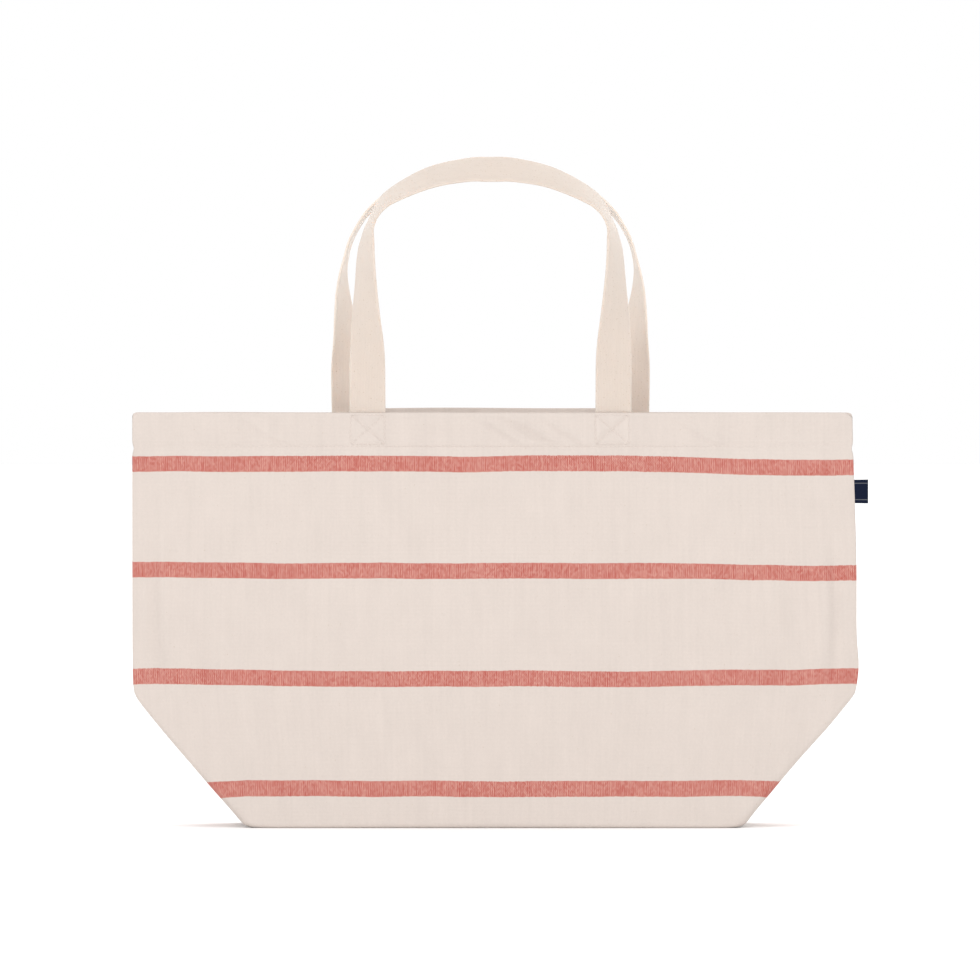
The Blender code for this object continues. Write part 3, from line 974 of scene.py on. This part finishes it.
def red_weft(n, across, up, over, reds):
    """Colour of a stripe: fine upright ticks, where warp threads show more or less of the red weft."""
    drift = n.noise(across, up, 25.0, 9.0, 5.0)
    thread = n.math("FLOOR", n.math("ADD", n.math("DIVIDE", across, TICK_PITCH), drift))
    pick = n.math("FLOOR", n.math("ADD", n.math("DIVIDE", up, TICK_LENGTH), n.random(thread, 8.0)))
    every_other = n.math("ABSOLUTE", n.math("MODULO", thread, 2.0))
    pale = n.vary(0.44, n.random(thread, pick), 0.50)
    pale = n.vary(pale, n.random(thread, 21.0), 0.20)
    pale = n.vary(pale, every_other, 0.26)
    pale = n.vary(pale, n.noise(across, up, 30.0, 60.0, 6.0), 0.3)
    pale = n.math("ADD", pale, n.math("MULTIPLY", over, 0.20), clamp=True)
    return n.mix(pale, *reds)


def canvas_material(name, natural, reds=None):
    """Plain-woven cotton: natural warp, and a weft that is natural or, in the stripes, red."""
    n = Nodes(name)
    across, up = n.cloth_map()
    over, warp_thread, weft_thread = plain_weave(n, across, up)
    # Uneven yarn, long slubs, small nubs and a soft mottle
    upright = n.noise(across, up, 260.0, 14.0, 1.0)
    level = n.noise(across, up, 16.0, 300.0, 2.0)
    mottle = n.noise(across, up, 60.0, 28.0, 4.0, detail=4.0)
    nubs = n.noise(across, up, 520.0, 420.0, 9.0)
    tone = n.vary(1.0, n.random(warp_thread), 0.010)
    tone = n.vary(tone, n.random(weft_thread, 5.0), 0.005)
    tone = n.vary(tone, nubs, 0.085)
    tone = n.vary(tone, upright, 0.055)
    tone = n.vary(tone, level, 0.010)
    tone = n.vary(tone, mottle, 0.085)
    depth = n.math("ABSOLUTE", over)
    # Painted shade: the cloth is darker in the hollows between the threads
    tone = n.math("MULTIPLY", tone, n.between(depth, 0.0, 0.35, 0.94, 1.0))
    # Painted shade: the cloth is a little darker towards the bottom
    tone = n.math("MULTIPLY", tone, n.between(up, 0.0, 0.30, 0.99, 1.0))
    colour = natural
    if reds:
        stripe = stripe_share(n, across, up, warp_thread)
        colour = n.mix(stripe, natural, red_weft(n, across, up, over, reds))
    # Sparse flecks of seed husk
    speck = n.noise(across, up, 900.0, 700.0, 6.0, detail=0.0)
    patch = n.noise(across, up, 130.0, 130.0, 8.0, detail=0.0)
    fleck = n.math("MULTIPLY", n.between(speck, 0.72, 0.80), n.between(patch, 0.66, 0.74))
    colour = n.scaled(n.mix(n.math("MULTIPLY", fleck, 0.40), colour, HUSK), tone)
    n.bump(n.plus(n.plus(depth, upright, 0.9), level, 0.3), 0.00016, 0.5)
    rough = n.between(mottle, 0.3, 0.7, 0.86, 0.95)
    return n.finish(colour, rough, sheen=0.06, specular=0.12)


def webbing_material(name, natural):
    """Cotton webbing: a close twill whose ribs run along the strap, with firm selvedges."""
    n = Nodes(name)
    across, along = n.cloth_map()
    from_middle = n.math("ABSOLUTE", across)
    rib = n.wave(across, 0.0013)
    twill = n.wave(n.math("ADD", n.math("DIVIDE", along, 0.0012), n.math("DIVIDE", from_middle, 0.0026)))
    weave = n.math("MULTIPLY", n.math("ADD", rib, 1.0), n.math("ADD", twill, 1.0))
    grain = n.noise(across, along, 900.0, 160.0, 2.0, detail=3.0)
    streak = n.noise(across, along, 300.0, 9.0, 5.0)
    mottle = n.noise(across, along, 30.0, 30.0, 1.0, detail=4.0)
    tone = n.vary(1.0, grain, 0.10)
    tone = n.vary(tone, streak, 0.05)
    tone = n.vary(tone, mottle, 0.05)
    # Painted shade: the webbing is darker in the hollows of its weave
    tone = n.math("MULTIPLY", tone, n.between(weave, 0.0, 1.2, 0.94, 1.0))
    speck = n.noise(across, along, 800.0, 800.0, 6.0, detail=0.0)
    fleck = n.math("MULTIPLY", n.between(speck, 0.74, 0.80), 0.45)
    colour = n.scaled(n.mix(fleck, natural, DARK_HUSK), tone)
    selvedge = n.between(from_middle, STRAP_WIDTH / 2 - 0.0022, STRAP_WIDTH / 2 - 0.0016)
    height = n.plus(n.math("MULTIPLY", weave, 0.3), grain, 0.8)
    n.bump(n.plus(height, selvedge, 0.5), 0.00016, 0.4)
    n.glow_through(0.8, 0.0022)
    return n.finish(colour, n.between(mottle, 0.3, 0.7, 0.82, 0.92), sheen=0.06, specular=0.15)


def thread_material(name, natural):
    """Two-ply sewing thread: its twist runs slantwise along each stitch."""
    n = Nodes(name)
    along, around = n.cloth_map()
    twist = n.wave(n.math("ADD", n.math("DIVIDE", along, 0.0009), n.math("DIVIDE", around, 0.0012)))
    fuzz = n.noise(along, around, 2500.0, 2500.0, 1.0)
    # Painted shade: the thread is darker in the grooves of its twist
    tone = n.vary(n.between(twist, -1.0, 0.2, 0.93, 1.0), fuzz, 0.1)
    n.bump(n.math("ADD", twist, fuzz), 0.00008, 0.6)
    return n.finish(n.scaled(natural, tone), n.between(fuzz, 0.3, 0.7, 0.6, 0.8), specular=0.15)


def label_material(name):
    """Navy damask ribbon with a pale woven line along each selvedge."""
    n = Nodes(name)
    along, up = n.cloth_map()
    low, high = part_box("side_label")
    half = (high.z - low.z) / 2
    rib = n.wave(up, 0.00045)
    pick = n.wave(along, 0.0004)
    from_middle = n.math("ABSOLUTE", n.math("SUBTRACT", up, half))
    from_line = n.math("ABSOLUTE", n.math("SUBTRACT", from_middle, half - TAB_LINE))
    pale = n.between(from_line, 0.0002, 0.0004, 1.0, 0.0)
    pale = n.math("MULTIPLY", pale, n.between(pick, -0.4, 0.4, 0.5, 1.0))
    mottle = n.noise(along, up, 600.0, 600.0, 1.0)
    colour = n.mix(n.math("MULTIPLY", pale, 0.4), n.mix(mottle, DEEP_NAVY, NAVY), TAB_THREAD)
    n.bump(n.math("ADD", rib, pick), 0.00008, 0.6)
    return n.finish(colour, n.between(mottle, 0.3, 0.7, 0.7, 0.85), specular=0.08)


# Studio

def make_surround():
    """An even white world over a pale floor."""
    world = bpy.data.worlds.new("studio")
    bpy.context.scene.world = world
    world.use_nodes = True
    background = world.node_tree.nodes["Background"]
    background.inputs["Color"].default_value = (1.0, 1.0, 1.0, 1.0)
    background.inputs["Strength"].default_value = 1.0
    surface = Nodes("floor").finish((FLOOR_TONE, FLOOR_TONE, FLOOR_TONE, 1.0), 0.9)
    corners = [(sx * FLOOR_HALF, sy * FLOOR_HALF, 0) for sx, sy in ((-1, -1), (1, -1), (1, 1), (-1, 1))]
    new_object("floor", corners, [(0, 1, 2, 3)], surface)


def make_lights():
    for name, turn, strength, angle in LIGHTS:
        light = bpy.data.lights.new(name, "SUN")
        light.energy = strength
        light.angle = radians(angle)
        lamp = bpy.data.objects.new(name, light)
        lamp.rotation_euler = [radians(a) for a in turn]
        bpy.context.scene.collection.objects.link(lamp)


def make_camera():
    """A camera far in front, so that the bag is seen almost without perspective."""
    lens = bpy.data.cameras.new("camera")
    lens.sensor_width = SENSOR
    lens.lens = SENSOR * CAMERA_DISTANCE / VIEW_WIDTH
    lens.clip_end = 100.0
    camera = bpy.data.objects.new("camera", lens)
    rise = radians(CAMERA_ELEVATION)
    camera.location = Vector(VIEW_MIDDLE) + Vector((0, -cos(rise), sin(rise))) * CAMERA_DISTANCE
    camera.rotation_euler = (pi / 2 - rise, 0, 0)
    bpy.context.scene.collection.objects.link(camera)
    bpy.context.scene.camera = camera
    bpy.context.scene.view_settings.view_transform = "Standard"


# Assembly

def place(piece, body, slot, *nodes):
    """Gives a piece its body and hides the CAD nodes it stands for; the slot is not used."""
    if body:
        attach(piece, body)
    if nodes:
        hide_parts(*nodes)


def add_side(word, side, canvas, webbing, thread):
    """The front or the back: its panel, its stitching and its handle."""
    panel = make_panel(f"{word}_cloth", side, canvas)
    place(panel, "bag", "canvas", f"{word}_panel", f"{word}_hem_facing")

    hem = make_hem_stitches(f"{word}_hem_stitches", side, thread)
    place(hem, "bag", "sewing_thread", f"{word}_hem_stitch")
    for hand, middle in zip(("left", "right"), strap_places(side)):
        box = make_box_stitches(f"{word}_{hand}_box_stitches", side, middle, thread)
        place(box, "bag", "sewing_thread", f"{word}_{hand}_box_stitch")

    handle = make_handle(f"{word}_webbing", side, webbing)
    place(handle, None, "webbing", f"{word}_handle", f"{word}_left_strap_end", f"{word}_right_strap_end")
    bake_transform(handle)


def add_base_and_seams(plain, thread):
    base = make_base(plain)
    place(base, "bag", "canvas", "base_panel")
    for hand, sign in (("left", -1), ("right", 1)):
        seam = make_side_seam(f"{hand}_seam_allowance", sign, plain)
        place(seam, "bag", "canvas", f"{hand}_side_seam")
        place(make_overlock(f"{hand}_seam_overlock", sign, thread), "bag", "sewing_thread")
    ring = make_base_seam("base_seam_allowance", plain)
    place(ring, "bag", "canvas", "base_seam")


def add_tab():
    label = make_label("folded_tab", label_material("navy_ribbon"))
    place(label, None, "navy_label", "side_label")
    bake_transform(label)


make_surround()
make_lights()
make_camera()
striped = canvas_material("striped_canvas", NATURAL, (DEEP_RED, PALE_RED))
plain = canvas_material("plain_canvas", NATURAL)
webbing = webbing_material("cotton_webbing", WEBBING)
# A paler copy of the webbing, with painted light, for the back handle
webbing_painted_light = webbing_material("cotton_webbing_painted_light", BACK_WEBBING_PAINTED_LIGHT)
thread = thread_material("cotton_thread", SEWING)
add_side("front", -1, striped, webbing, thread)
add_side("back", 1, striped, webbing_painted_light, thread)
add_base_and_seams(plain, thread)
add_tab()
